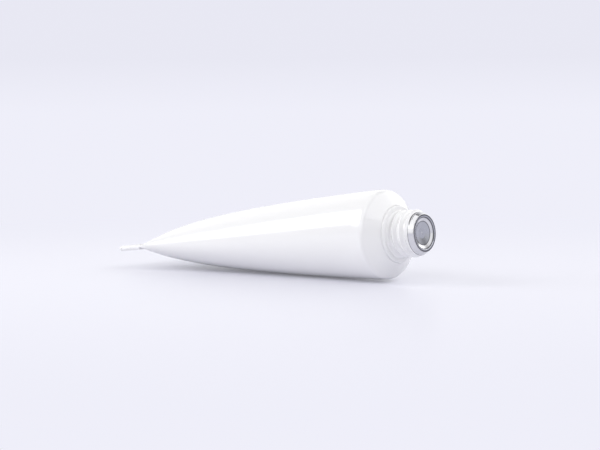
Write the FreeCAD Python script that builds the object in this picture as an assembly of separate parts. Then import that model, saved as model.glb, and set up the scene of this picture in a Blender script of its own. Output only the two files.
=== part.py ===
import FreeCAD
import Part
import math
import os

# A filled and sealed cosmetic tube of aluminium, lying on its belly.
#
# The real thing is one impact-extruded piece: a thin round wall, a conical
# shoulder, and a threaded neck whose mouth is still closed by its membrane.
# After filling, the open end was pressed flat and rolled up twice.  Nothing
# can be seen of the inside, so the pack is one closed solid.  The neck is
# plain here, as wide as the crests of its fine thread.
#
# Millimetres.  The tube is made along X: its body starts at x = 0 and runs
# towards -X to the fold, and the shoulder and neck run towards +X.  It is
# then tilted to the angle at which it comes to rest, and set down with its
# lowest point at z = 0 and the middle of its bounding box at x = y = 0.

# ---- body: a round tube pressed flat towards its tail -----------------------

BODY_RADIUS = 11.0
BODY_LENGTH = 68.2          # from the shoulder's corner to the fold
ROUND_LENGTH = 2.0          # stretch behind the corner that is still a cylinder
TAPER_START = 1.05          # power that lets the taper start gently
TAPER_END = 0.34            # power that rounds the belly off towards the fold
PINCH_LENGTH = 4.0          # last stretch, where the walls run onto the fold
PRESSED_THICKNESS = 1.2     # of the body where it enters the fold
PRESSED_SQUARENESS = 3.0    # weight of the section's corners at the fold
TAPER_RINGS = 11            # control rings of the surface along the taper
PINCH_RINGS = 5             # and along the pinched stretch
FOLD_GRIP = 1.0             # how far the pressed body reaches into the fold

# ---- fold: the flat end rolled up twice and pressed --------------------------

FOLD_LENGTH = 7.3
FOLD_THICKNESS = 1.42
FOLD_LAYERS = 3
FOLD_GAP = 0.08             # slit that stays between the rolled layers
FOLD_OVERHANG = 0.1         # how far the layers spread past the body's sides
FOLD_DROP = 0.07            # of the fold's middle below the body's axis
FOLD_DROOP = 2.0            # degrees that the fold hangs towards the belly
FOLD_EDGE_ROUND = 0.3       # on the lower edge of the roll, facing the body

# ---- shoulder and collar -----------------------------------------------------

CORNER_RADIUS = 1.7         # rounding between body and shoulder
SHOULDER_ANGLE = 37.0       # degrees between the cone and the tube's end plane
COLLAR_RADIUS = 7.0
COLLAR_WIDTH = 0.75
COLLAR_ROUND = 0.45

# ---- neck and mouth ----------------------------------------------------------

NECK_LENGTH = 7.85          # from the collar's foot to the mouth
THREAD_RADIUS = 5.8         # of the neck, over the crests of its fine thread
COLLAR_FILLET = 0.3         # between the collar's front and the neck
TIP_RADIUS = 4.6            # of the lead-in taper where it meets the mouth
TIP_TAPER = 29.0            # degrees between the taper and the neck's axis
TIP_ROUND = 0.2
MOUTH_RADIUS = 3.5
MEMBRANE_RADIUS = 2.75
MEMBRANE_DEPTH = 0.55       # of the membrane's edge below the mouth
MEMBRANE_RISE = 0.3         # of its middle above its edge
NIPPLE_RADIUS = 0.25        # of the small point in the membrane's middle
NIPPLE_HEIGHT = 0.2

CIRCLE_WEIGHT = math.sqrt(0.5)     # corner weight that makes a section an ellipse


# ---- sections of the body ----------------------------------------------------

def half_height(distance):
    """Half height of the body's section at a distance behind the corner.

    The height falls as a rounded power law, and over the pinched stretch a
    cubic takes it down to the pressed thickness, level at the fold.
    """
    taper_length = BODY_LENGTH - ROUND_LENGTH
    pressed = PRESSED_THICKNESS / 2

    def tapered(at):
        share = max(at - ROUND_LENGTH, 0) / taper_length
        return BODY_RADIUS * (1 - share ** TAPER_START) ** TAPER_END

    pinch_start = BODY_LENGTH - PINCH_LENGTH
    if distance <= pinch_start:
        return tapered(distance)
    if distance >= BODY_LENGTH:
        return pressed
    step = 0.01
    height = tapered(pinch_start)
    slope = (height - tapered(pinch_start - step)) / step
    t = (distance - pinch_start) / PINCH_LENGTH
    return (
        height * (2 * t ** 3 - 3 * t ** 2 + 1)
        + slope * PINCH_LENGTH * (t ** 3 - 2 * t ** 2 + t)
        + pressed * (3 * t ** 2 - 2 * t ** 3)
    )


def squareness(height):
    """Corner weight of a section: an ellipse, until the pinch squares it."""
    pinch_height = half_height(BODY_LENGTH - PINCH_LENGTH)
    pressed = PRESSED_THICKNESS / 2
    share = (pinch_height - height) / (pinch_height - pressed)
    share = min(max(share, 0), 1)
    return CIRCLE_WEIGHT + (PRESSED_SQUARENESS - CIRCLE_WEIGHT) * share ** 2


def quarter_length(width, height, weight, chords=48):
    """Length of a quarter of the section, as chords of its rational arc."""
    points = []
    for k in range(chords + 1):
        t = k / chords
        side, corner, top = (1 - t) ** 2, 2 * weight * t * (1 - t), t ** 2
        total = side + corner + top
        points.append(((side + corner) * width / total, (corner + top) * height / total))
    return sum(math.dist(a, b) for a, b in zip(points, points[1:]))


def half_width(height, weight):
    """Half width that keeps the wall's girth the same in every section."""
    quarter_girth = quarter_length(BODY_RADIUS, BODY_RADIUS, CIRCLE_WEIGHT)
    low, high = 0, quarter_girth
    for _ in range(50):
        middle = (low + high) / 2
        if quarter_length(middle, height, weight) < quarter_girth:
            low = middle
        else:
            high = middle
    return low


def quarter_poles(distance, side, rise):
    """Poles and weights of one quarter of a section, from its side to its ridge.

    side and rise are +1 or -1 and choose the quarter.
    """
    height = half_height(distance)
    weight = squareness(height)
    width = half_width(height, weight)
    poles = [
        FreeCAD.Vector(-distance, side * width, 0),
        FreeCAD.Vector(-distance, side * width, rise * height),
        FreeCAD.Vector(-distance, 0, rise * height),
    ]
    return poles, [1, weight, 1]


# ---- pieces of the solid -----------------------------------------------------

def body_distances():
    """Where the control rings of the body's surface lie, behind the corner."""
    pinch_start = BODY_LENGTH - PINCH_LENGTH
    taper_step = (pinch_start - ROUND_LENGTH) / TAPER_RINGS
    pinch_step = PINCH_LENGTH / PINCH_RINGS
    taper = [ROUND_LENGTH + taper_step * k for k in range(TAPER_RINGS)]
    pinch = [pinch_start + pinch_step * k for k in range(PINCH_RINGS + 1)]
    return [ROUND_LENGTH / 2] + taper + pinch + [BODY_LENGTH + FOLD_GRIP]


def quarter_wall(side, rise):
    """A quarter of the wall, cubic along the tube and an exact arc across it."""
    rings = [quarter_poles(distance, side, rise) for distance in body_distances()]
    spans = len(rings) - 3
    surface = Part.BSplineSurface()
    surface.buildFromPolesMultsKnots(
        [poles for poles, _ in rings],
        [4] + [1] * (spans - 1) + [4],
        [3, 3],
        [float(k) for k in range(spans + 1)],
        [0.0, 1.0],
        False,
        False,
        3,
        2,
        [weights for _, weights in rings],
    )
    ends = [surface.uIso(0.0).toShape(), surface.uIso(float(spans)).toShape()]
    return surface.toShape(), ends


def solid_from_strips(strips):
    """A solid from strips that close a tube, each a face and its two end edges."""
    faces = [face for face, _ in strips]
    for end in range(2):
        faces.append(Part.Face(Part.Wire([edges[end] for _, edges in strips])))
    shell = Part.Shell(faces)
    shell.sewShape()
    solid = Part.Solid(shell)
    if solid.Volume < 0:
        solid.reverse()
    return solid


def make_body():
    """The body, from the middle of its round stretch to the end gripped in the fold."""
    quarters = ((1, 1), (-1, 1), (-1, -1), (1, -1))
    return solid_from_strips([quarter_wall(side, rise) for side, rise in quarters])


def arc(start, middle, end):
    """An edge through three points."""
    return Part.Arc(start, middle, end).toShape()


def profile_point(x, radius):
    """A point of a turned outline, in the XZ plane."""
    return FreeCAD.Vector(x, 0, radius)


def turned(points, rounds):
    """A solid of revolution about X from an outline that starts and ends on it.

    rounds maps the number of a point to the radius that rounds it.
    """
    edges = []
    start = points[0]
    for k in range(1, len(points)):
        corner = points[k]
        if k in rounds:
            before = (points[k - 1] - corner).normalize()
            after = (points[k + 1] - corner).normalize()
            half_angle = before.getAngle(after) / 2
            reach = rounds[k] / math.tan(half_angle)
            bisector = (before + after).normalize()
            depth = rounds[k] / math.sin(half_angle) - rounds[k]
            first, last = corner + before * reach, corner + after * reach
            edges.append(Part.LineSegment(start, first).toShape())
            edges.append(arc(first, corner + bisector * depth, last))
            start = last
        else:
            edges.append(Part.LineSegment(start, corner).toShape())
            start = corner
    edges.append(Part.LineSegment(start, points[0]).toShape())
    outline = Part.Face(Part.Wire(edges))
    return outline.revolve(FreeCAD.Vector(0, 0, 0), FreeCAD.Vector(1, 0, 0), 360)


def collar_foot():
    """Place along the axis where the shoulder's cone meets the collar."""
    return cone_corner() + (BODY_RADIUS - COLLAR_RADIUS) * math.tan(math.radians(SHOULDER_ANGLE))


def cone_corner():
    """Place along the axis where cone and cylinder would meet with no rounding."""
    return CORNER_RADIUS * math.tan(math.radians(90 - SHOULDER_ANGLE) / 2)


def make_head():
    """Shoulder, collar and neck, with the mouth recessed down to its membrane."""
    foot = collar_foot()
    front = foot + COLLAR_WIDTH
    mouth = foot + NECK_LENGTH
    taper_length = (THREAD_RADIUS - TIP_RADIUS) / math.tan(math.radians(TIP_TAPER))
    membrane = mouth - MEMBRANE_DEPTH
    crown = membrane + MEMBRANE_RISE
    return turned(
        [
            profile_point(-ROUND_LENGTH / 2, 0),
            profile_point(-ROUND_LENGTH / 2, BODY_RADIUS),
            profile_point(cone_corner(), BODY_RADIUS),
            profile_point(foot, COLLAR_RADIUS),
            profile_point(front, COLLAR_RADIUS),
            profile_point(front, THREAD_RADIUS),
            profile_point(mouth - taper_length, THREAD_RADIUS),
            profile_point(mouth, TIP_RADIUS),
            profile_point(mouth, MOUTH_RADIUS),
            profile_point(membrane, MEMBRANE_RADIUS),
            profile_point(crown, NIPPLE_RADIUS),
            profile_point(crown + NIPPLE_HEIGHT, 0),
        ],
        {2: CORNER_RADIUS, 4: COLLAR_ROUND, 5: COLLAR_FILLET, 7: TIP_ROUND},
    )


def make_fold():
    """The rolled end of the tube: a flat block, rounded where the sheet turns."""
    half = FOLD_THICKNESS / 2
    layer = FOLD_THICKNESS / FOLD_LAYERS
    width = half_width(PRESSED_THICKNESS / 2, PRESSED_SQUARENESS) + FOLD_OVERHANG
    turn = FOLD_LENGTH - half
    edge = FOLD_EDGE_ROUND
    diagonal = edge * (1 - CIRCLE_WEIGHT)

    def point(out, height):
        return FreeCAD.Vector(-out, -width, height)

    edges = [
        Part.LineSegment(point(0, half), point(turn, half)).toShape(),
        arc(point(turn, half), point(FOLD_LENGTH, 0), point(turn, -half)),
        Part.LineSegment(point(turn, -half), point(edge, -half)).toShape(),
        arc(point(edge, -half), point(diagonal, -half + diagonal), point(0, -half + edge)),
        Part.LineSegment(point(0, -half + edge), point(0, half)).toShape(),
    ]
    block = Part.Face(Part.Wire(edges)).extrude(FreeCAD.Vector(0, 2 * width, 0))
    inner_turn = FOLD_LENGTH - layer
    for k in range(1, FOLD_LAYERS):
        height = half - k * layer
        block = block.cut(slit(layer, inner_turn, height - FOLD_GAP / 2, height + FOLD_GAP / 2, width))
    block = block.cut(slit(inner_turn - FOLD_GAP, inner_turn, layer - half, half - layer, width))
    block.translate(FreeCAD.Vector(-BODY_LENGTH, 0, -FOLD_DROP))
    block.rotate(FreeCAD.Vector(-BODY_LENGTH, 0, 0), FreeCAD.Vector(0, 1, 0), -FOLD_DROOP)
    return block


def slit(near, far, low, high, width):
    """A thin gap right across the fold, between two distances and two heights."""
    corner = FreeCAD.Vector(-far, -width - FOLD_GAP, low)
    return Part.makeBox(far - near, 2 * (width + FOLD_GAP), high - low, corner)


# ---- the tube at rest --------------------------------------------------------

def rest_tilt(solid):
    """Angle that lays the belly level below the tube's centre of mass."""
    distance = -solid.CenterOfMass.x
    step = 0.5
    drop = half_height(distance - step) - half_height(distance + step)
    return math.degrees(math.atan(drop / (2 * step)))


def make_tube():
    """The whole tube, tilted to its rest and set on the ground plane."""
    tube = make_head().fuse([make_body(), make_fold()]).removeSplitter()
    solid = tube.Solids[0]
    solid.rotate(FreeCAD.Vector(0, 0, 0), FreeCAD.Vector(0, 1, 0), -rest_tilt(solid))
    box = solid.optimalBoundingBox(False, False)
    solid.translate(FreeCAD.Vector(-box.Center.x, -box.Center.y, -box.ZMin))
    return solid


os.makedirs("parts", exist_ok=True)
tube = make_tube()
tube.exportStep("parts/tube.step")
box = tube.optimalBoundingBox(False, False)
print("tube:", round(tube.Volume), "mm3,", "valid" if tube.isValid() else "not valid")
print("size:", round(box.XLength, 2), round(box.YLength, 2), round(box.ZLength, 2), "mm")
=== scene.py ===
"""A filled, sealed aluminium squeeze tube that lies on its belly on a pale studio floor.

The real tube is one impact-extruded piece: a thin round wall, a conical
shoulder and a threaded neck, lacquered white all over.  The lacquer is turned
away at the mouth, where the bare metal shows.  The other end was pressed flat
after filling and rolled up twice.

Shapes are worked out in the tube's own axes, in millimetres: x runs along the
tube towards the neck and is 0 at the corner between body and shoulder, y runs
across the rolled end, and z is up.  Resting then tilts them to the angle at
which the tube lies, and seats them in the CAD model's box.
"""

import logging
import math
from dataclasses import dataclass, field
from enum import Enum

import bpy
import numpy as np
from mathutils import Matrix, Quaternion, Vector


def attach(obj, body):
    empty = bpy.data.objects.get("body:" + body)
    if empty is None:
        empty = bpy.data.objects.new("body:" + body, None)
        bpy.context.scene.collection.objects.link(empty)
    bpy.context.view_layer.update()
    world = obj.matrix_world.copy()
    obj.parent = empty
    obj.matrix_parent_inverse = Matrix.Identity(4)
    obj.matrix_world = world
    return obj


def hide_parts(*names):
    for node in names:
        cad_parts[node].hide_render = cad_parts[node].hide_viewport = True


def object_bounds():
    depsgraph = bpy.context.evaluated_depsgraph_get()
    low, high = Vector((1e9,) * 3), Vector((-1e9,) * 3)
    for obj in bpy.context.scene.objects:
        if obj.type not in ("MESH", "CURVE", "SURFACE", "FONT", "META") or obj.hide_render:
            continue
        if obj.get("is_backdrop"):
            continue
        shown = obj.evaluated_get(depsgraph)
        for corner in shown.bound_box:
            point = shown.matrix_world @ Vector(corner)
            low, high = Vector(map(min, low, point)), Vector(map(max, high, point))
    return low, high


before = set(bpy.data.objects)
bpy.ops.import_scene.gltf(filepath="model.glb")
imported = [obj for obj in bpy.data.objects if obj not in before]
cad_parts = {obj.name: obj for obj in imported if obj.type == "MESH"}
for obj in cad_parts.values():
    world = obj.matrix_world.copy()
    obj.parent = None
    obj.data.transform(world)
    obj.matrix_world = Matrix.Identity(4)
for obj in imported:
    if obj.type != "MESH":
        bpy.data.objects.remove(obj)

LOG = logging.getLogger("squeeze_tube")

MM = 0.001
CAD_NODE = "tube"
BODY_NAME = "root"
CIRCLE_WEIGHT = math.sqrt(0.5)   # corner weight that makes a rational section an ellipse
GIRTH_CHORDS = 48                # chords that measure a quarter of a section's girth
BISECTIONS = 40                  # halvings that settle a section's width
SAME_POINT = 1e-6                # millimetres within which two points of a line count as one
GLOSS_IOR = 1.5                  # of the lacquer


class Slot(Enum):
    """A material slot of the record, which no piece here takes its finish from."""

    LACQUERED = "lacquered_aluminium"


class Detail(Enum):
    """How many finer layers a noise has."""

    SMOOTH = 1.0
    MIDDLING = 2.0
    FINE = 3.0


# ---- curves and grids ----------------------------------------------------------------


def rounded_profile(corners: list[tuple[float, float]], radii: dict[int, float], steps: int = 8,
                    longest: float = 2.0) -> np.ndarray:
    """Lay a line through corners, with some of them rounded.

    A rounded corner becomes the arc that touches both of its sides: its ends
    lie radius / tan(half angle) from the corner, and its points are the
    centre plus the radius times the turned direction.

    Args:
        corners: the corners, as (x, radius) pairs.
        radii: number of a corner to the radius that rounds it.
        steps: segments in each arc.
        longest: length over which a straight stretch is divided.

    Returns:
        The points of the line, one row each.
    """
    points = np.asarray(corners, float)
    line = [points[:1]]
    for k in range(1, len(points)):
        corner = points[k]
        if k in radii:
            before = points[k - 1] - corner
            after = points[k + 1] - corner
            before /= np.linalg.norm(before)
            after /= np.linalg.norm(after)
            half = math.acos(float(np.clip(before @ after, -1, 1))) / 2
            reach = radii[k] / math.tan(half)
            middle = before + after
            centre = corner + middle / np.linalg.norm(middle) * radii[k] / math.sin(half)
            start = corner + before * reach - centre
            end = corner + after * reach - centre
            share = np.linspace(0, 1, steps + 1)[:, None]
            sweep = math.pi - 2 * half
            arc = (np.sin((1 - share) * sweep) * start + np.sin(share * sweep) * end) / math.sin(sweep)
            piece = centre + arc
        else:
            piece = corner[None]
        gap = np.linalg.norm(piece[0] - line[-1][-1])
        parts = max(int(math.ceil(gap / longest)), 1)
        share = np.linspace(0, 1, parts + 1)[1:-1, None]
        line.append(line[-1][-1] * (1 - share) + piece[0] * share)
        line.append(piece)
    joined = np.concatenate(line)
    apart = np.linalg.norm(np.diff(joined, axis=0), axis=1) > SAME_POINT
    return joined[np.concatenate([[True], apart])]


def ring_quads(rows: int, columns: int) -> tuple[np.ndarray, np.ndarray]:
    """Number the points of closed rings, row by row, and lay quads between the rings.

    Args:
        rows: how many rings there are.
        columns: how many points each has.

    Returns:
        The numbers, (rows, columns), and the quads, four numbers a row.
    """
    number = np.arange(rows * columns).reshape(rows, columns)
    beside = np.roll(number, -1, axis=1)
    quads = np.stack([number[:-1], beside[:-1], beside[1:], number[1:]], axis=-1)
    return number, quads.reshape(-1, 4)


def add_object(name: str, data: bpy.types.ID) -> bpy.types.Object:
    """Put a mesh, lamp or camera into the scene.

    Args:
        name: name of the new object.
        data: the mesh, lamp or camera.

    Returns:
        The object.
    """
    added = bpy.data.objects.new(name, data)
    bpy.context.scene.collection.objects.link(added)
    return added


@dataclass
class Skin:
    """A closed surface: a grid of rings, with a fan of triangles at each end.

    Attributes:
        name: name of the piece.
        rings: points of the rings, (rows, columns, 3), in the tube's axes in millimetres.  Columns run
            from +y towards +z and rows towards +x, so that faces look outwards.
        marks: named values at the points, (rows, columns) each, which a finish may read.
    """

    name: str
    rings: np.ndarray
    marks: dict[str, np.ndarray] = field(default_factory=dict)

    def points(self) -> np.ndarray:
        """Return the ring points and the two end centres, one row each."""
        centres = self.rings[[0, -1]].mean(axis=1)
        return np.concatenate([self.rings.reshape(-1, 3), centres])

    def faces(self) -> tuple[np.ndarray, np.ndarray]:
        """Work out the faces.

        Returns:
            The quads between the rings, and the triangles of the end fans.
        """
        number, quads = ring_quads(*self.rings.shape[:2])
        beside = np.roll(number, -1, axis=1)
        centre = np.full(number.shape[1], number.size)
        start = np.stack([centre, beside[0], number[0]], axis=-1)
        end = np.stack([centre + 1, number[-1], beside[-1]], axis=-1)
        return quads, np.concatenate([start, end])

    def to_mesh(self, placed: np.ndarray, sharp_deg: float) -> bpy.types.Mesh:
        """Make the mesh of the surface.

        Args:
            placed: the points of `points`, at their place in the row frame, in metres.
            sharp_deg: angle above which an edge is shaded as a sharp one.

        Returns:
            The mesh, with its marks as point attributes.
        """
        quads, triangles = self.faces()
        corners = np.concatenate([quads.ravel(), triangles.ravel()]).astype(np.int32)
        sizes = np.concatenate([np.full(len(quads), 4), np.full(len(triangles), 3)])
        starts = np.concatenate([[0], np.cumsum(sizes)[:-1]]).astype(np.int32)
        mesh = bpy.data.meshes.new(self.name)
        mesh.vertices.add(len(placed))
        mesh.vertices.foreach_set("co", placed.astype(np.float32).ravel())
        mesh.loops.add(len(corners))
        mesh.loops.foreach_set("vertex_index", corners)
        mesh.polygons.add(len(sizes))
        mesh.polygons.foreach_set("loop_start", starts)
        mesh.update(calc_edges=True)
        for mark, values in self.marks.items():
            ends = values[[0, -1]].mean(axis=1)
            attribute = mesh.attributes.new(mark, "FLOAT", "POINT")
            attribute.data.foreach_set("value", np.concatenate([values.ravel(), ends]).astype(np.float32))
        mesh.shade_smooth()
        mesh.set_sharp_from_angle(angle=math.radians(sharp_deg))
        return mesh


@dataclass(frozen=True)
class Resting:
    """How the tube lies: tilted until its belly is level under its weight.

    Attributes:
        tilt_deg: angle by which the tube's axis rises towards the neck.
    """

    tilt_deg: float = 4.476

    def turned(self, points: np.ndarray) -> np.ndarray:
        """Turn points about y: x becomes x cos - z sin, and z becomes x sin + z cos of the tilt.

        Args:
            points: the points, one row each.

        Returns:
            The turned points.
        """
        cosine = math.cos(math.radians(self.tilt_deg))
        sine = math.sin(math.radians(self.tilt_deg))
        x, y, z = points.T
        return np.stack([x * cosine - z * sine, y, x * sine + z * cosine], axis=-1)

    def placed(self, skins: list[Skin], low: Vector, high: Vector) -> list[np.ndarray]:
        """Tilt the surfaces and set them into the CAD model's box.

        The box of all of them is centred on the CAD box along x and y, and its
        floor is put on the CAD box's floor.

        Args:
            skins: the surfaces of the tube.
            low: lowest corner of the CAD model's box, in metres.
            high: its highest corner.

        Returns:
            The points of each surface in the row frame, in metres.
        """
        turned = [self.turned(skin.points()) * MM for skin in skins]
        bottom = np.min([points.min(axis=0) for points in turned], axis=0)
        top = np.max([points.max(axis=0) for points in turned], axis=0)
        low_corner, high_corner = np.array(low), np.array(high)
        shift = (low_corner + high_corner - bottom - top) / 2
        shift[2] = low_corner[2] - bottom[2]
        return [points + shift for points in turned]


# ---- the tube's sub-assemblies -------------------------------------------------------


@dataclass(frozen=True)
class Wall:
    """The wall of the body: round at the shoulder, pressed flat towards the fold.

    Lengths are in millimetres, and distances are counted from the corner towards the tail.
    """

    radius: float = 11.0
    length: float = 68.2
    round_length: float = 2.0
    taper_start: float = 1.05
    taper_end: float = 0.34
    pinch_length: float = 4.0
    pressed_thickness: float = 1.2
    pressed_squareness: float = 3.0
    squaring: float = 2.0            # how late in the pinch the sections square off
    pressed_lift: float = 0.04       # how far the pressed end rises to run into the fold's top layer

    def tapered(self, distance: np.ndarray) -> np.ndarray:
        """Half height of the taper: radius (1 - share ^ start) ^ end, with share from 0 to 1 along it."""
        share = np.clip((distance - self.round_length) / (self.length - self.round_length), 0, 1)
        return self.radius * (1 - share ** self.taper_start) ** self.taper_end

    def half_height(self, distance: np.ndarray) -> np.ndarray:
        """Work out the half height of the body's sections.

        The taper holds up to the pinch.  There a cubic Hermite curve starts
        with the taper's height and slope and ends level at half the pressed
        thickness.

        Args:
            distance: distances behind the corner.

        Returns:
            The half heights.
        """
        pressed = self.pressed_thickness / 2
        start = self.length - self.pinch_length
        step = 0.01
        height, before = self.tapered(np.array([start, start - step]))
        slope = (height - before) / step
        t = np.clip((distance - start) / self.pinch_length, 0, 1)
        pinched = (height * (2 * t ** 3 - 3 * t ** 2 + 1)
                   + slope * self.pinch_length * (t ** 3 - 2 * t ** 2 + t)
                   + pressed * (3 * t ** 2 - 2 * t ** 3))
        return np.where(distance < start, self.tapered(distance), pinched)

    def squareness(self, height: np.ndarray) -> np.ndarray:
        """Corner weight of the sections: an ellipse's, until the pinch squares them off.

        Args:
            height: half heights of the sections.

        Returns:
            The weights, which grow with a power of the share of the pinch that is done.
        """
        pinch_height = self.tapered(np.array(self.length - self.pinch_length))
        pressed = self.pressed_thickness / 2
        share = np.clip((pinch_height - height) / (pinch_height - pressed), 0, 1)
        return CIRCLE_WEIGHT + (self.pressed_squareness - CIRCLE_WEIGHT) * share ** self.squaring

    def quarter(self, t: np.ndarray, width: np.ndarray, height: np.ndarray,
                weight: np.ndarray) -> tuple[np.ndarray, np.ndarray]:
        """Points of a quarter section, from its side to its ridge.

        A rational quadratic: (1 - t)^2, 2 weight t (1 - t) and t^2, divided by
        their sum, weigh the side, the corner and the ridge.

        Args:
            t: parameter from 0 to 1.
            width: half widths of the sections.
            height: half heights.
            weight: corner weights.

        Returns:
            The points' y and z.
        """
        side, corner, ridge = (1 - t) ** 2, 2 * weight * t * (1 - t), t ** 2
        total = side + corner + ridge
        return (side + corner) * width / total, (corner + ridge) * height / total

    def half_width(self, height: np.ndarray, weight: np.ndarray) -> np.ndarray:
        """Half widths that give each section the girth of the round tube, found by bisection.

        Args:
            height: half heights of the sections.
            weight: their corner weights.

        Returns:
            The half widths.
        """
        t = np.linspace(0, 1, GIRTH_CHORDS + 1)

        def girth(width: np.ndarray, tall: np.ndarray, corner: np.ndarray) -> np.ndarray:
            """Length of the quarter sections, as chords."""
            y, z = self.quarter(t, width[:, None], tall[:, None], corner[:, None])
            return np.hypot(np.diff(y, axis=1), np.diff(z, axis=1)).sum(axis=1)

        whole = girth(*(np.array([value]) for value in (self.radius, self.radius, CIRCLE_WEIGHT)))
        low = np.zeros_like(height)
        high = np.full_like(height, whole[0])
        for _ in range(BISECTIONS):
            middle = (low + high) / 2
            short = girth(middle, height, weight) < whole
            low = np.where(short, middle, low)
            high = np.where(short, high, middle)
        return low

    def sections(self, angles: np.ndarray, width: np.ndarray, height: np.ndarray,
                 weight: np.ndarray) -> tuple[np.ndarray, np.ndarray]:
        """Work out whole sections.

        A point's parameter in its quarter is found so that a round section
        has its points at just the given angles:
        t = sin(a / 2) / (sin(a / 2) + sin((90 - a) / 2)).

        Args:
            angles: angles of the points, from +y towards +z.
            width: half widths of the sections.
            height: half heights.
            weight: corner weights.

        Returns:
            The points' y and z, one row for each section.
        """
        quarter_angle = np.arctan2(np.abs(np.sin(angles)), np.abs(np.cos(angles)))
        near = np.sin(quarter_angle / 2)
        far = np.sin((math.pi / 2 - quarter_angle) / 2)
        t = near / (near + far)
        y, z = self.quarter(t[None], width[:, None], height[:, None], weight[:, None])
        return y * np.sign(np.cos(angles)), z * np.sign(np.sin(angles))


@dataclass(frozen=True)
class Shoulder:
    """The turned front of the body: rounded corner, cone and collar, in millimetres."""

    corner_radius: float = 1.7
    angle_deg: float = 37.0
    collar_radius: float = 7.0
    collar_width: float = 0.6
    collar_round: float = 0.4
    crease_width: float = 0.14       # of the sharp groove in the cone at the collar's foot
    crease_depth: float = 0.28
    crease_round: float = 0.04
    arc_steps: int = 10
    longest_step: float = 0.8        # along the outline's straight stretches

    def corner(self) -> float:
        """Place along the tube where cylinder and cone would meet with no rounding."""
        return self.corner_radius * math.tan(math.radians(90 - self.angle_deg) / 2)

    def foot(self, body_radius: float) -> float:
        """Place along the tube where the cone meets the collar."""
        return self.corner() + (body_radius - self.collar_radius) * math.tan(math.radians(self.angle_deg))

    def front(self, body_radius: float) -> float:
        """Place along the tube of the collar's front."""
        return self.foot(body_radius) + self.collar_width

    def profile(self, wall: Wall) -> np.ndarray:
        """Outline from the end of the round stretch to near the axis.

        Args:
            wall: the wall that the shoulder closes.

        Returns:
            The outline, as (x, radius) rows.
        """
        foot, front = self.foot(wall.radius), self.front(wall.radius)
        crease = foot - self.crease_width * math.tan(math.radians(self.angle_deg))
        corners = [
            (-wall.round_length, wall.radius),
            (self.corner(), wall.radius),
            (crease, self.collar_radius + self.crease_width),
            (foot - self.crease_depth, self.collar_radius),
            (front, self.collar_radius),
            (front, self.collar_radius / 2),
        ]
        radii = {1: self.corner_radius, 2: self.crease_round, 3: self.crease_round, 4: self.collar_round}
        return rounded_profile(corners, radii, self.arc_steps, self.longest_step)


@dataclass(frozen=True)
class Body:
    """The lacquered skin from the fold to the front of the collar.

    Attributes:
        wall: the body's wall.
        shoulder: the shoulder and collar.
        fold_grip: how far the wall reaches into the fold, in millimetres.
        rings_along: rings on the taper, and half as many again on the pinch.
        points_round: points in each ring.
    """

    wall: Wall = Wall()
    shoulder: Shoulder = Shoulder()
    fold_grip: float = 0.3
    rings_along: int = 110
    points_round: int = 384

    def skin(self) -> Skin:
        """Work out the surface: the wall's sections, and then circles along the shoulder's profile.

        Returns:
            The surface.
        """
        wall = self.wall
        start = wall.length - wall.pinch_length
        taper = np.linspace(wall.round_length, start, self.rings_along)[1:]
        pinch = np.linspace(start, wall.length, self.rings_along // 2)[1:]
        distance = np.concatenate([taper, pinch, [wall.length + self.fold_grip]])[::-1]
        height = wall.half_height(distance)
        weight = wall.squareness(height)
        width = wall.half_width(height, weight)
        lift = wall.pressed_lift * np.clip((distance - start) / wall.pinch_length, 0, 1) ** 2
        profile = self.shoulder.profile(wall)
        lift = np.concatenate([lift, np.zeros(len(profile))])
        x = np.concatenate([-distance, profile[:, 0]])
        width = np.concatenate([width, profile[:, 1]])
        height = np.concatenate([height, profile[:, 1]])
        weight = np.concatenate([weight, np.full(len(profile), CIRCLE_WEIGHT)])
        angles = np.linspace(0, 2 * math.pi, self.points_round, endpoint=False)
        y, z = wall.sections(angles, width, height, weight)
        x = np.broadcast_to(x[:, None], y.shape)
        return Skin("tube_body", np.stack([x, y, z + lift[:, None]], axis=-1))


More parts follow.
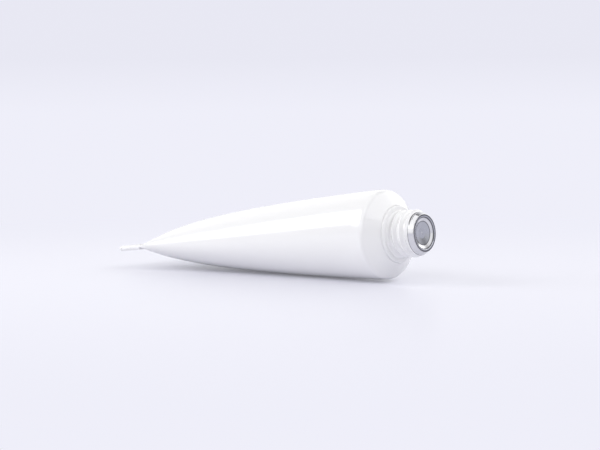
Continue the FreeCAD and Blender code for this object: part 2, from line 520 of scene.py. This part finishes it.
@dataclass(frozen=True)
class Neck:
    """The threaded neck, turned to a taper at its mouth and closed by its membrane, in millimetres."""

    base: float                      # place of the collar's front along the tube
    mouth: float                     # place of the mouth's sealing land
    sunk: float = 0.4                # how far the neck starts inside the collar
    groove_radius: float = 5.1
    crest_radius: float = 5.8
    pitch: float = 1.94
    thread_start: float = 0.27       # of the first crest at the bottom, from the collar's front
    bead_radius: float = 5.95
    bead_width: float = 0.5          # of the rounded bead at the neck's foot
    tip_radius: float = 4.6
    taper_deg: float = 29.0
    tip_round: float = 0.22
    rim_width: float = 0.58          # of the mouth's rim, before the step inside it
    rim_round: float = 0.14
    step_depth: float = 0.2
    step_radius: float = 3.84        # where the step meets the cone that leads down to the membrane
    step_round: float = 0.05
    cut_blend: float = 0.05          # softness of the ridge between thread and taper
    margin: float = 0.15             # of the finer rings, before and after the thread is cut
    # The dark lines at the mouth's edges, set below, are painted shade.
    rim_shade_line: float = 2.0            # how many times wider the dark line is on the rim
    step_shade_line: float = 1.8           # and in the step
    membrane_radius: float = 2.9
    membrane_depth: float = 0.58
    membrane_round: float = 0.06     # on its edge
    membrane_dish: float = 0.28      # how far its middle lies behind its edge
    dish_share: float = 0.45         # radius of the dish's level middle, as a share of the membrane's
    dish_round: float = 1.2
    nipple_radius: float = 0.25
    nipple_height: float = 0.22
    nipple_round: float = 0.08
    nipple_tip: float = 0.02         # radius that its tip ends with
    bare_length: float = 1.35        # of the metal from the lacquer's edge to the mouth
    shade_line_width: float = 0.09         # of the dark lines at the sharp edges
    points_round: int = 320
    rings_sunk: int = 3
    rings_threaded: int = 84
    rings_cut: int = 44              # where the taper cuts the thread away
    arc_steps: int = 6
    longest_step: float = 0.06       # along the tip's straight stretches

    def thread(self, x: np.ndarray, angles: np.ndarray) -> np.ndarray:
        """Radius of the thread's surface.

        A wave between groove and crest, cos(2 pi (x - start) / pitch - turn),
        where turn counts from the bottom towards +y, so the thread is a
        right-handed one.  At the collar it starts from a bead, a quarter of
        an ellipse, and the larger of the two counts.

        Args:
            x: places along the tube, as a column.
            angles: angles from +y towards +z, as a row.

        Returns:
            The radii, one row for each place.
        """
        turn = angles + math.pi / 2
        wave = np.cos(2 * math.pi * (x - self.base - self.thread_start) / self.pitch - turn)
        middle = (self.crest_radius + self.groove_radius) / 2
        swing = (self.crest_radius - self.groove_radius) / 2
        across = np.clip((x - self.base) / self.bead_width, 0, 1)
        bead = self.groove_radius + (self.bead_radius - self.groove_radius) * np.sqrt(1 - across ** 2)
        return np.maximum(middle + swing * wave, bead)

    def taper(self, x: np.ndarray) -> np.ndarray:
        """Radius of the turned taper: it grows from the tip by the tangent of the taper's angle."""
        return self.tip_radius + (self.mouth - x) * math.tan(math.radians(self.taper_deg))

    def tip_profile(self, start: float) -> np.ndarray:
        """Outline of the bare tip.

        Args:
            start: place on the taper, along the tube, where the outline starts.

        Returns:
            The outline up to the membrane's middle, as (x, radius) rows.
        """
        membrane = self.mouth - self.membrane_depth
        middle = membrane - self.membrane_dish
        corners = [
            (start, float(self.taper(np.array(start)))),
            (self.mouth, self.tip_radius),
            (self.mouth, self.tip_radius - self.rim_width),
            (self.mouth - self.step_depth, self.step_radius),
            (membrane, self.membrane_radius),
            (middle, self.membrane_radius * self.dish_share),
            (middle, self.nipple_radius),
            (middle + self.nipple_height, self.nipple_tip),
        ]
        rounds = (self.tip_round, self.rim_round, self.step_round, self.membrane_round,
                  self.dish_round, self.nipple_round)
        return rounded_profile(corners, dict(enumerate(rounds, 1)), self.arc_steps, self.longest_step)

    def marks(self, x: np.ndarray, radius: np.ndarray) -> dict[str, np.ndarray]:
        """Work out what the finish reads at each point of the surface.

        `bare` is how far the point lies past the lacquer's edge.  `dulled_and_shaded` is 1
        on the rim's front and the membrane, which are dulled and, partly as painted dark reflection,
        darkened, and 0 on the cone between them and elsewhere.  `line` is 1 on the lacquer's
        edge, on the rim, in the step and round the membrane, and falls as
        exp(-(distance / width)^2) beside them; it places thin lines of painted shade.

        Args:
            x: places along the tube.
            radius: distances from the axis, of the same shape.

        Returns:
            The marks.
        """
        bare = x - (self.mouth - self.bare_length)
        # Painted shade: thin dark lines along the lacquer's edge, the rim, the step and round the membrane.
        edges = [
            np.abs(bare),
            np.hypot(x - self.mouth, radius - self.tip_radius + self.tip_round) / self.rim_shade_line,
            np.hypot(x - self.mouth + self.step_depth, radius - self.step_radius) / self.step_shade_line,
            np.hypot(x - self.mouth + self.membrane_depth, radius - self.membrane_radius),
        ]
        line = np.exp(-(np.minimum.reduce(edges) / self.shade_line_width) ** 2)
        # The rim's front and the membrane: dulled metal, darkened partly as painted dark reflection.
        cone = (radius > self.membrane_radius) & (radius < self.step_radius)
        facing = (radius < self.tip_radius - self.tip_round / 2) & ~cone
        return {"bare": bare, "dulled_and_shaded": facing.astype(float), "line": line}

    def skin(self) -> Skin:
        """Work out the surface.

        Up to the end of the thread the radius is the smaller of thread and
        taper, with a soft ridge: it is lowered by h^2 blend / 4, where h is 1
        where the two are equal and 0 where they differ by the blend or more.
        The tip's outline follows.  The mark `along` is the length along the
        outline.

        Returns:
            The surface.
        """
        angles = np.linspace(0, 2 * math.pi, self.points_round, endpoint=False)
        slope = math.tan(math.radians(self.taper_deg))
        cut_start = self.mouth - (self.crest_radius - self.tip_radius) / slope - self.margin
        cut_end = self.mouth - (self.groove_radius - self.tip_radius) / slope + self.margin
        x = np.concatenate([
            np.linspace(self.base - self.sunk, self.base, self.rings_sunk),
            np.linspace(self.base, cut_start, self.rings_threaded)[1:],
            np.linspace(cut_start, cut_end, self.rings_cut)[1:],
        ])[:, None]
        thread = self.thread(x, angles)
        taper = np.broadcast_to(self.taper(x), thread.shape)
        overlap = np.clip(self.cut_blend - np.abs(thread - taper), 0, None) / self.cut_blend
        radius = np.minimum(thread, taper) - overlap ** 2 * self.cut_blend / 4
        tip = self.tip_profile(float(x[-1, 0]))[1:]
        x_all = np.concatenate([x[:, 0], tip[:, 0]])
        radius = np.concatenate([radius, np.broadcast_to(tip[:, 1:], (len(tip), len(angles)))])
        steps = np.hypot(np.diff(x_all), np.diff(radius.mean(axis=1)))
        along = np.concatenate([[0], np.cumsum(steps)])
        x_all, along = (np.broadcast_to(row[:, None], radius.shape) for row in (x_all, along))
        rings = np.stack([x_all, radius * np.cos(angles), radius * np.sin(angles)], axis=-1)
        return Skin("tube_neck", rings, {"along": along, **self.marks(x_all, radius)})


@dataclass(frozen=True)
class Fold:
    """The rolled end, in millimetres: a flat strip, turned under at its end and again at its near edge."""

    start: float                     # place along the tube where the fold begins, counted towards the tail
    half_width: float                # of the strip
    length: float = 7.3
    thickness: float = 1.42
    layers: int = 3
    gap: float = 0.004
    drop: float = 0.07
    bulge: float = 0.5               # how far the sides of the middle layer stand out past the outer ones
    droop_deg: float = 2.0
    grip: float = 0.15               # how far the strip starts inside the body
    edge_round: float = 0.03
    strips_across: int = 24
    straight_steps: int = 15         # along each layer
    end_steps: int = 24              # round the far end
    turn_steps: int = 16             # round the inner turn
    edge_steps: int = 6              # round each edge of the strip

    def centre_line(self) -> np.ndarray:
        """Line of the strip: along the top, round the far end, back below, round and in.

        Returns:
            The line, as (out, height) rows.
        """
        layer = self.thickness / self.layers
        half = (layer - self.gap) / 2
        far = self.length - layer - half
        near = layer / 2 + half

        def straight(start: float, end: float, height: float) -> np.ndarray:
            """Points of a level stretch."""
            out = np.linspace(start, end, self.straight_steps + 1)
            return np.stack([out, np.full_like(out, height)], axis=-1)

        def half_turn(out: float, height: float, radius: float, start: float, steps: int) -> np.ndarray:
            """Points of half a circle, which runs clockwise from an angle."""
            angle = np.linspace(start, start - math.pi, steps + 1)
            return np.stack([out + radius * np.cos(angle), height + radius * np.sin(angle)], axis=-1)

        return np.concatenate([
            straight(-self.grip, far, layer)[:-1],
            half_turn(far, 0.0, layer, math.pi / 2, self.end_steps),
            straight(far, near, -layer)[1:-1],
            half_turn(near, -layer / 2, layer / 2, -math.pi / 2, self.turn_steps),
            straight(near, far - self.gap, 0.0)[1:],
        ])

    def section(self) -> np.ndarray:
        """Outline of the strip's section: a flat bar with rounded edges.

        Returns:
            The closed outline, as (across, up) rows.
        """
        half = (self.thickness / self.layers - self.gap) / 2
        straight, rise = self.half_width - self.edge_round, half - self.edge_round
        flat = np.linspace(-1, 1, self.strips_across + 1)[1:-1]
        rows = []
        for quarter, (side, up) in enumerate([(1, 1), (-1, 1), (-1, -1), (1, -1)]):
            angle = math.pi / 2 * (quarter + np.linspace(0, 1, self.edge_steps + 1))
            rows.append(np.stack([side * straight + self.edge_round * np.cos(angle),
                                  up * rise + self.edge_round * np.sin(angle)], axis=-1))
            if up * side > 0:
                rows.append(np.stack([-side * flat * straight, np.full(len(flat), up * half)], axis=-1))
        return np.concatenate(rows)

    def skin(self) -> Skin:
        """Work out the surface: the section carried along the line, turned with the line's direction.

        Its width falls with the square of the height above or below the
        middle, so that the layers' edges together make a rounded side.

        Returns:
            The surface.
        """
        line = self.centre_line()
        outline = self.section()
        direction = np.gradient(line, axis=0)
        direction /= np.linalg.norm(direction, axis=1)[:, None]
        normal = np.stack([-direction[:, 1], direction[:, 0]], axis=-1)
        up = outline[:, 1]
        out = line[:, None, 0] + normal[:, None, 0] * up
        height = line[:, None, 1] + normal[:, None, 1] * up
        across = outline[:, 0] * (1 - self.bulge / self.half_width * (2 * height / self.thickness) ** 2)
        droop = math.radians(self.droop_deg)
        x, z = -out, height - self.drop
        x, z = x * math.cos(droop) - z * math.sin(droop), x * math.sin(droop) + z * math.cos(droop)
        rings = np.stack([x - self.start, across, z], axis=-1)
        return Skin("rolled_fold", rings[:, ::-1])


# ---- finishes ------------------------------------------------------------------------


def feed(tree: bpy.types.NodeTree, node: bpy.types.Node, values: dict[str | int, object]) -> None:
    """Give inputs of a node their values or links.

    Args:
        tree: the node tree.
        node: the node.
        values: name or number of an input to its value or to the socket that feeds it.
    """
    for label, value in values.items():
        if isinstance(value, bpy.types.NodeSocket):
            tree.links.new(value, node.inputs[label])
        else:
            node.inputs[label].default_value = value


def add_node(tree: bpy.types.NodeTree, kind: str, values: dict[str | int, object] | None = None,
             **settings: object) -> bpy.types.Node:
    """Add a node and set it.

    Args:
        tree: the node tree.
        kind: the node's type.
        values: name or number of an input to its value or to the socket that feeds it.
        settings: the node's own properties.

    Returns:
        The node.
    """
    node = tree.nodes.new(kind)
    for label, value in settings.items():
        setattr(node, label, value)
    feed(tree, node, values or {})
    return node


def calculate(tree: bpy.types.NodeTree, operation: str, *values: object) -> bpy.types.NodeSocket:
    """Add a Math node whose inputs are sockets or numbers, and return its output."""
    return add_node(tree, "ShaderNodeMath", dict(enumerate(values)), operation=operation).outputs[0]


def blend_colors(tree: bpy.types.NodeTree, share: bpy.types.NodeSocket, first: object,
                 second: object) -> bpy.types.NodeSocket:
    """Add a colour Mix node whose colours are sockets or RGBA values, and return its output."""
    colors = {"Factor": share, 6: first, 7: second}
    return add_node(tree, "ShaderNodeMix", colors, data_type="RGBA").outputs[2]


def fade_between(tree: bpy.types.NodeTree, value: bpy.types.NodeSocket, start: float, end: float,
                 least: float = 0.0, shape: str = "LINEAR") -> bpy.types.NodeSocket:
    """Map a value to a share that grows from `least` at the start to 1 at the end, and return the share."""
    limits = {"Value": value, "From Min": start, "From Max": end, "To Min": least}
    return add_node(tree, "ShaderNodeMapRange", limits, interpolation_type=shape).outputs["Result"]


def finish_group(name: str, inputs: dict[str, float]) -> bpy.types.NodeTree:
    """Make an empty node group of a finish, with outputs Color, Roughness and Height (in metres).

    Args:
        name: name of the group.
        inputs: name of each input to its value.

    Returns:
        The group, with an input node named `in` and an output node named `out`.
    """
    group = bpy.data.node_groups.new(name, "ShaderNodeTree")
    for label, value in inputs.items():
        socket = group.interface.new_socket(name=label, in_out="INPUT", socket_type="NodeSocketFloat")
        socket.default_value = value
    for label, kind in {"Color": "Color", "Roughness": "Float", "Height": "Float"}.items():
        group.interface.new_socket(name=label, in_out="OUTPUT", socket_type=f"NodeSocket{kind}")
    group.nodes.new("NodeGroupInput").name = "in"
    group.nodes.new("NodeGroupOutput").name = "out"
    return group


def object_place(tree: bpy.types.NodeTree) -> bpy.types.NodeSocket:
    """Return the Object coordinates."""
    return add_node(tree, "ShaderNodeTexCoord").outputs["Object"]


def mark_value(tree: bpy.types.NodeTree, mark: str) -> bpy.types.NodeSocket:
    """Return the value of a mark of the surface."""
    return add_node(tree, "ShaderNodeAttribute", attribute_name=mark).outputs["Fac"]


def noise(tree: bpy.types.NodeTree, scale: float, detail: Detail,
          **place: bpy.types.NodeSocket) -> bpy.types.NodeSocket:
    """Add a noise.

    Args:
        tree: the node tree.
        scale: its patches to the unit of length.
        detail: how many finer layers it has.
        place: the place that it reads, as Vector, or the length that it reads, as W.

    Returns:
        The noise's value, from 0 to 1.
    """
    values = {"Scale": scale, "Detail": detail.value, **place}
    dimensions = "1D" if "W" in place else "3D"
    return add_node(tree, "ShaderNodeTexNoise", values, noise_dimensions=dimensions).outputs[0]


@dataclass(frozen=True)
class LacquerFilm:
    """A white gloss lacquer: even, with a faint orange peel and a trace of mottle.

    Attributes:
        white: its colour.
        shade: the colour of the faint mottle in it.
        mottle_scale: patches of mottle to the metre.
        roughness: how blurred its gloss is.
        smear_scale: patches of slightly rougher gloss to the metre.
        smear: how far the roughness varies over them.
        peel_mm: spacing of the orange peel.
        peel_height: depth of the orange peel, in metres.
    """

    white: tuple[float, float, float] = (0.905, 0.902, 0.903)
    shade: tuple[float, float, float] = (0.89, 0.888, 0.89)
    mottle_scale: float = 90.0
    roughness: float = 0.07
    smear_scale: float = 160.0
    smear: float = 0.03
    peel_mm: float = 1.6
    peel_height: float = 1.2e-6

    def group(self) -> bpy.types.NodeTree:
        """Build the film's node group.

        Returns:
            The group.
        """
        tree = finish_group("lacquer_film", {"Roughness": self.roughness})
        place = object_place(tree)
        mottle = noise(tree, self.mottle_scale, Detail.MIDDLING, Vector=place)
        smear = noise(tree, self.smear_scale, Detail.FINE, Vector=place)
        peel = noise(tree, 1 / (self.peel_mm * MM), Detail.SMOOTH, Vector=place)
        uneven = calculate(tree, "MULTIPLY_ADD", smear, self.smear, -self.smear / 2)
        feed(tree, tree.nodes["out"], {
            "Color": blend_colors(tree, mottle, (*self.shade, 1.0), (*self.white, 1.0)),
            "Roughness": calculate(tree, "ADD", tree.nodes["in"].outputs["Roughness"], uneven),
            "Height": calculate(tree, "MULTIPLY", peel, self.peel_height),
        })
        return tree


@dataclass(frozen=True)
class TurnedMetal:
    """Bare aluminium: fine rings round the axis, slightly dulled in spots and on the membrane and rim,
    partly as painted dark reflection, with thin lines of painted shade at its sharp edges.

    Attributes:
        metal: its colour.
        dulled_and_shaded: its colour where it is dulled; on the rim's front and the membrane this darkening
            is partly painted dark reflection.
        edge: the colour of the thin dark lines at its sharp edges, which are painted shade.
        roughness: how blurred its reflections are.
        dull_roughness: how much more blurred they are on the membrane.
        spotting: how strongly spots and rings vary its colour and roughness.
        spot_scale: spots to the metre.
        ring_mm: spacing of the tool's rings.
        ring_height: depth of the rings, in metres.
    """

    metal: tuple[float, float, float] = (0.72, 0.72, 0.735)
    dulled_and_shaded: tuple[float, float, float] = (0.48, 0.49, 0.53)
    edge: tuple[float, float, float] = (0.07, 0.07, 0.08)
    roughness: float = 0.16
    dull_roughness: float = 0.05
    spotting: float = 0.12
    spot_scale: float = 900.0
    ring_mm: float = 0.11
    ring_height: float = 1.5e-6

    def group(self) -> bpy.types.NodeTree:
        """Build the metal's node group; its inputs Dulled_And_Shaded and Line are the surface's marks,
        which place the partly painted dark reflection and the painted shade lines.

        Returns:
            The group.
        """
        tree = finish_group("turned_metal", {"Roughness": self.roughness, "Dulled_And_Shaded": 0.0, "Line": 0.0})
        plain, dulled_and_shaded, line = (tree.nodes["in"].outputs[label] for label in ("Roughness", "Dulled_And_Shaded", "Line"))
        rings = noise(tree, 1 / self.ring_mm, Detail.MIDDLING, W=mark_value(tree, "along"))
        spots = noise(tree, self.spot_scale, Detail.FINE, Vector=object_place(tree))
        share = calculate(tree, "MULTIPLY_ADD", spots, self.spotting, dulled_and_shaded)
        share = calculate(tree, "MULTIPLY_ADD", rings, self.spotting, share)
        # The darker colour shows in spots and rings, and on the rim's front and the membrane, where it is
        # partly painted dark reflection.
        color = blend_colors(tree, share, (*self.metal, 1.0), (*self.dulled_and_shaded, 1.0))
        uneven = calculate(tree, "MULTIPLY_ADD", spots, self.spotting, -self.spotting / 2)
        rough = calculate(tree, "MULTIPLY_ADD", dulled_and_shaded, self.dull_roughness, uneven)
        feed(tree, tree.nodes["out"], {
            # painted shade: thin dark lines laid over the metal's colour at its sharp edges
            "Color": blend_colors(tree, line, color, (*self.edge, 1.0)),
            "Roughness": calculate(tree, "ADD", plain, rough),
            "Height": calculate(tree, "MULTIPLY", rings, self.ring_height),
        })
        return tree


@dataclass
class TubeFinishes:
    """The tube's two materials, which share the node groups of the lacquer and the metal."""

    film: LacquerFilm = LacquerFilm()
    metal: TurnedMetal = TurnedMetal()
    edge_mm: float = 0.04            # half the width over which the lacquer gives way to metal

    def __post_init__(self) -> None:
        """Build the node groups once."""
        self.film_group = self.film.group()
        self.metal_group = self.metal.group()

    def lacquer(self) -> bpy.types.Material:
        """Make the plain lacquer of the body and the fold.

        Returns:
            The material.
        """
        material, tree, shader = self.blank("white_lacquer")
        film = add_node(tree, "ShaderNodeGroup", node_tree=self.film_group).outputs
        feed(tree, shader, {"Base Color": film["Color"], "Roughness": film["Roughness"]})
        self.emboss(tree, film["Height"], shader)
        return material

    def lacquer_over_metal(self) -> bpy.types.Material:
        """Make the neck's material: lacquer, and bare metal where the mark `bare` is above zero.

        Returns:
            The material.
        """
        material, tree, shader = self.blank("lacquer_turned_to_metal")
        marks = {mark.title(): mark_value(tree, mark) for mark in ("dulled_and_shaded", "line")}
        film = add_node(tree, "ShaderNodeGroup", node_tree=self.film_group).outputs
        metal = add_node(tree, "ShaderNodeGroup", marks, node_tree=self.metal_group).outputs
        bare = fade_between(tree, mark_value(tree, "bare"), -self.edge_mm, self.edge_mm)
        rough, height = (
            add_node(tree, "ShaderNodeMix", {"Factor": bare, 2: film[label], 3: metal[label]}).outputs[0]
            for label in ("Roughness", "Height"))
        color = blend_colors(tree, bare, film["Color"], metal["Color"])
        feed(tree, shader, {"Base Color": color, "Roughness": rough, "Metallic": bare})
        self.emboss(tree, height, shader)
        return material

    @staticmethod
    def blank(name: str) -> tuple[bpy.types.Material, bpy.types.NodeTree, bpy.types.Node]:
        """Make a material with nothing set but the lacquer's refraction.

        Args:
            name: name of the material.

        Returns:
            The material, its node tree and its Principled shader.
        """
        material = bpy.data.materials.new(name)
        material.use_nodes = True
        shader = material.node_tree.nodes["Principled BSDF"]
        shader.inputs["IOR"].default_value = GLOSS_IOR
        return material, material.node_tree, shader

    @staticmethod
    def emboss(tree: bpy.types.NodeTree, height: bpy.types.NodeSocket, shader: bpy.types.Node) -> None:
        """Bend the shader's normal by a height in metres."""
        bump = add_node(tree, "ShaderNodeBump", {"Height": height, "Strength": 1.0, "Distance": 1.0})
        feed(tree, shader, {"Normal": bump.outputs["Normal"]})


# ---- the whole tube ------------------------------------------------------------------


@dataclass
class SqueezeTube:
    """The tube: body, neck and fold, which all stand for the one CAD solid."""

    body: Body = Body()
    neck_length: float = 7.85        # from the collar's foot to the mouth
    fold_overhang: float = 0.1       # how far the fold spreads past the body's sides
    resting: Resting = Resting()
    sharp_deg: float = 35.0          # angle above which an edge is shaded as a sharp one

    def skins(self) -> list[Skin]:
        """Work out the surfaces, with the neck and the fold placed by the body's own sizes.

        Returns:
            The surfaces of the body, the neck and the fold.
        """
        wall, shoulder = self.body.wall, self.body.shoulder
        neck = Neck(base=shoulder.front(wall.radius), mouth=shoulder.foot(wall.radius) + self.neck_length)
        pressed = np.array([wall.pressed_thickness / 2])
        side = float(wall.half_width(pressed, np.array([wall.pressed_squareness]))[0])
        fold = Fold(start=wall.length, half_width=side + self.fold_overhang)
        return [self.body.skin(), neck.skin(), fold.skin()]

    def build(self, low: Vector, high: Vector) -> None:
        """Make the pieces, dress them and tie them to the CAD model.

        Args:
            low: lowest corner of the CAD model's box.
            high: its highest corner.
        """
        skins = self.skins()
        finishes = TubeFinishes()
        lacquer = finishes.lacquer()
        materials = {"tube_body": lacquer, "tube_neck": finishes.lacquer_over_metal(),
                     "rolled_fold": lacquer}
        for skin, placed in zip(skins, self.resting.placed(skins, low, high)):
            mesh = skin.to_mesh(placed, self.sharp_deg)
            mesh.materials.append(materials[skin.name])
            piece = add_object(skin.name, mesh)
            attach(piece, BODY_NAME)
            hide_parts(CAD_NODE)
            LOG.info("%s: %d faces", piece.name, len(mesh.polygons))


# ---- studio --------------------------------------------------------------------------


def direction_from(azimuth_deg: float, elevation_deg: float) -> Vector:
    """Work out a direction.

    Args:
        azimuth_deg: angle from -Y towards +X.
        elevation_deg: angle above the horizon.

    Returns:
        The unit vector: x = cos e sin a, y = -cos e cos a and z = sin e.
    """
    azimuth, elevation = math.radians(azimuth_deg), math.radians(elevation_deg)
    level = math.cos(elevation)
    return Vector((level * math.sin(azimuth), -level * math.cos(azimuth), math.sin(elevation)))


@dataclass(frozen=True)
class View:
    """Where the camera stands, in metres and degrees."""

    azimuth_deg: float = 39.5
    elevation_deg: float = 4.5
    roll_deg: float = -0.4
    distance: float = 0.428
    moved_right: float = 0.0034
    moved_up: float = 0.0012
    lens_mm: float = 100.0
    sensor_mm: float = 36.0
    clip_start: float = 0.01

    def build(self, centre: Vector) -> None:
        """Make the scene's camera: it faces the tube's centre, and is then moved across its own view.

        Args:
            centre: the tube's centre.
        """
        data = bpy.data.cameras.new("camera")
        data.lens = self.lens_mm
        data.sensor_width = self.sensor_mm
        data.clip_start = self.clip_start
        camera = add_object("camera", data)
        towards = direction_from(self.azimuth_deg, self.elevation_deg)
        roll = Matrix.Rotation(math.radians(self.roll_deg), 3, towards)
        right = roll @ direction_from(self.azimuth_deg + 90, 0)
        up = towards.cross(right)
        place = centre + towards * self.distance + right * self.moved_right + up * self.moved_up
        turn = Matrix((right, up, towards)).transposed()
        camera.matrix_world = Matrix.Translation(place) @ turn.to_4x4()
        bpy.context.scene.camera = camera


@dataclass(frozen=True)
class Softbox:
    """A flat lamp that faces the tube.

    Attributes:
        name: name of the lamp.
        azimuth_deg: direction of its middle, counted from the camera's azimuth to the right.
        elevation_deg: height of its middle above the horizon.
        width_deg: angle that it spans across, seen from the tube.
        height_deg: angle that it spans upwards.
        radiance: how bright its face is, where 1 is a white sheet in the plain light.
        distance: from the tube's centre, in metres.
        roll_deg: turn about its own axis.
    """

    name: str
    azimuth_deg: float
    elevation_deg: float
    width_deg: float
    height_deg: float
    radiance: float
    distance: float = 0.6
    roll_deg: float = 0.0

    def build(self, centre: Vector, view: View) -> None:
        """Make the lamp: a side is 2 distance tan(angle / 2), and the power radiance times area times pi.

        Args:
            centre: the tube's centre.
            view: the camera's place, from which azimuths count.
        """
        width, height = (2 * self.distance * math.tan(math.radians(angle) / 2)
                         for angle in (self.width_deg, self.height_deg))
        data = bpy.data.lights.new(self.name, "AREA")
        data.shape = "RECTANGLE"
        data.size, data.size_y = width, height
        data.energy = self.radiance * width * height * math.pi
        lamp = add_object(self.name, data)
        towards = direction_from(view.azimuth_deg + self.azimuth_deg, self.elevation_deg)
        turn = towards.to_track_quat("Z", "Y") @ Quaternion((0, 0, 1), math.radians(self.roll_deg))
        lamp.location = centre + towards * self.distance
        lamp.rotation_euler = turn.to_euler()


@dataclass(frozen=True)
class Bowl:
    """The pale floor, which curves up all round into a low rim, in metres.

    Near the tube the floor is a satin surface that takes shadows and blurred
    reflections.  Away from it a matching pale colour is given off to the
    camera's and the mirrored rays, so that the ground stays even up to the rim.
    """

    flat_rings: tuple[float, ...] = (0.3, 1.2)
    flat_radius: float = 4.0
    bend_radius: float = 3.0
    bend_steps: int = 16
    rim_height: float = 0.44
    color: tuple[float, float, float] = (0.79, 0.79, 0.866)
    roughness: float = 0.32
    mirror: float = 0.35             # how strongly it mirrors; 0.5 is usual
    shown_low: tuple[float, float, float] = (0.862, 0.862, 0.95)   # colour given off on the flat floor
    shown_high: tuple[float, float, float] = (0.81, 0.81, 0.90)    # and above the shown height
    shown_height: float = 0.16
    near: float = 0.02               # within it, the least of that colour is given off
    far: float = 0.20                # and beyond it, all of it
    near_share: float = 0.17         # the least
    columns: int = 96

    def build(self) -> None:
        """Make the bowl: an outline of flat floor and rising bend, turned round the upright axis."""
        bend = np.linspace(0, math.acos(1 - self.rim_height / self.bend_radius), self.bend_steps + 1)
        reach = np.concatenate([self.flat_rings, self.flat_radius + self.bend_radius * np.sin(bend)])
        rise = np.concatenate([np.zeros(len(self.flat_rings)), self.bend_radius * (1 - np.cos(bend))])
        turn = np.linspace(0, 2 * math.pi, self.columns, endpoint=False)
        x, y = np.outer(reach, np.cos(turn)), np.outer(reach, np.sin(turn))
        points = np.stack([x, y, np.broadcast_to(rise[:, None], x.shape)], axis=-1)
        number, quads = ring_quads(*x.shape)
        mesh = bpy.data.meshes.new("bowl")
        mesh.from_pydata(points.reshape(-1, 3).tolist(), [], quads[:, ::-1].tolist() + [number[0].tolist()])
        mesh.shade_smooth()
        mesh.materials.append(self.material())
        add_object("bowl", mesh)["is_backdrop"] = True

    def material(self) -> bpy.types.Material:
        """Make the satin finish, with the given-off colour growing with the distance from the tube.

        Returns:
            The material.
        """
        material = bpy.data.materials.new("pale_satin")
        material.use_nodes = True
        tree = material.node_tree
        satin = tree.nodes["Principled BSDF"]
        feed(tree, satin, {"Roughness": self.roughness, "Base Color": (*self.color, 1.0),
                           "Specular IOR Level": self.mirror})
        place = object_place(tree)
        reach = add_node(tree, "ShaderNodeVectorMath", {0: place}, operation="LENGTH").outputs["Value"]
        share = fade_between(tree, reach, self.near, self.far, self.near_share, "SMOOTHSTEP")
        ray = add_node(tree, "ShaderNodeLightPath").outputs
        seen = calculate(tree, "MAXIMUM", ray["Is Camera Ray"], ray["Is Glossy Ray"])
        seen = calculate(tree, "MAXIMUM", seen, ray["Is Transmission Ray"])
        share = calculate(tree, "MULTIPLY", share, seen)
        rise = add_node(tree, "ShaderNodeSeparateXYZ", {0: place}).outputs["Z"]
        level = fade_between(tree, rise, 0.0, self.shown_height)
        color = blend_colors(tree, level, (*self.shown_low, 1.0), (*self.shown_high, 1.0))
        glow = add_node(tree, "ShaderNodeEmission", {"Color": color})
        mix = add_node(tree, "ShaderNodeMixShader", {0: share, 1: satin.outputs[0], 2: glow.outputs[0]})
        feed(tree, tree.nodes["Material Output"], {"Surface": mix.outputs[0]})
        return material


@dataclass(frozen=True)
class Glow:
    """A soft-edged bright patch of the room, in degrees; azimuths are counted from the camera's."""

    azimuth_deg: float
    elevation_deg: float
    inner_deg: float
    outer_deg: float
    radiance: float


@dataclass(frozen=True)
class Room:
    """The light of the room: even, with soft patches added to it."""

    base: float = 0.23
    tint: tuple[float, float, float] = (1.0, 1.0, 1.02)
    glows: tuple[Glow, ...] = (
        Glow(0.0, 12.0, 10.0, 60.0, 0.25),
        Glow(-38.0, 20.0, 8.0, 36.0, 1.0),
        Glow(68.0, 20.0, 8.0, 36.0, 0.85),
        Glow(135.0, 12.0, 6.0, 36.0, 0.55),
        Glow(180.0, 20.0, 8.0, 50.0, 0.8),
    )

    def build(self, view: View) -> None:
        """Make the world: a patch fades between its inner and outer angle from its middle.

        Args:
            view: the camera's place, from which azimuths count.
        """
        world = bpy.data.worlds.new("room")
        world.use_nodes = True
        tree = world.node_tree
        way = add_node(tree, "ShaderNodeTexCoord").outputs["Generated"]
        total = self.base
        for glow in self.glows:
            middle = direction_from(view.azimuth_deg + glow.azimuth_deg, glow.elevation_deg)
            nearness = add_node(tree, "ShaderNodeVectorMath", {0: way, 1: middle}, operation="DOT_PRODUCT")
            inner, outer = (math.cos(math.radians(angle)) for angle in (glow.inner_deg, glow.outer_deg))
            fade = fade_between(tree, nearness.outputs["Value"], outer, inner, shape="SMOOTHSTEP")
            total = calculate(tree, "MULTIPLY_ADD", fade, glow.radiance, total)
        feed(tree, tree.nodes["Background"], {"Color": (*self.tint, 1.0), "Strength": total})
        bpy.context.scene.world = world


@dataclass(frozen=True)
class Studio:
    """Camera, floor, lamps and the room's own light."""

    view: View = View()
    bowl: Bowl = Bowl()
    room: Room = Room()
    softboxes: tuple[Softbox, ...] = (
        Softbox("left_softbox", -93.0, 28.0, 31.0, 34.0, 4.8, roll_deg=-14.0),
        Softbox("right_softbox", 97.0, 44.0, 95.0, 30.0, 1.65, roll_deg=-22.0),
        Softbox("top_softbox", -24.0, 69.0, 24.0, 80.0, 1.15),
    )

    def build(self, centre: Vector) -> None:
        """Make everything that stands round the tube.

        Args:
            centre: the tube's centre.
        """
        self.view.build(centre)
        self.bowl.build()
        self.room.build(self.view)
        for softbox in self.softboxes:
            softbox.build(centre, self.view)
        bpy.context.scene.view_settings.view_transform = "Standard"


def main() -> None:
    """Build the studio and the tube."""
    logging.basicConfig(level=logging.INFO, format="%(name)s: %(message)s")
    low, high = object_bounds()
    centre = (low + high) / 2
    Studio().build(centre)
    SqueezeTube().build(low, high)


if __name__ == "__main__":
    main()
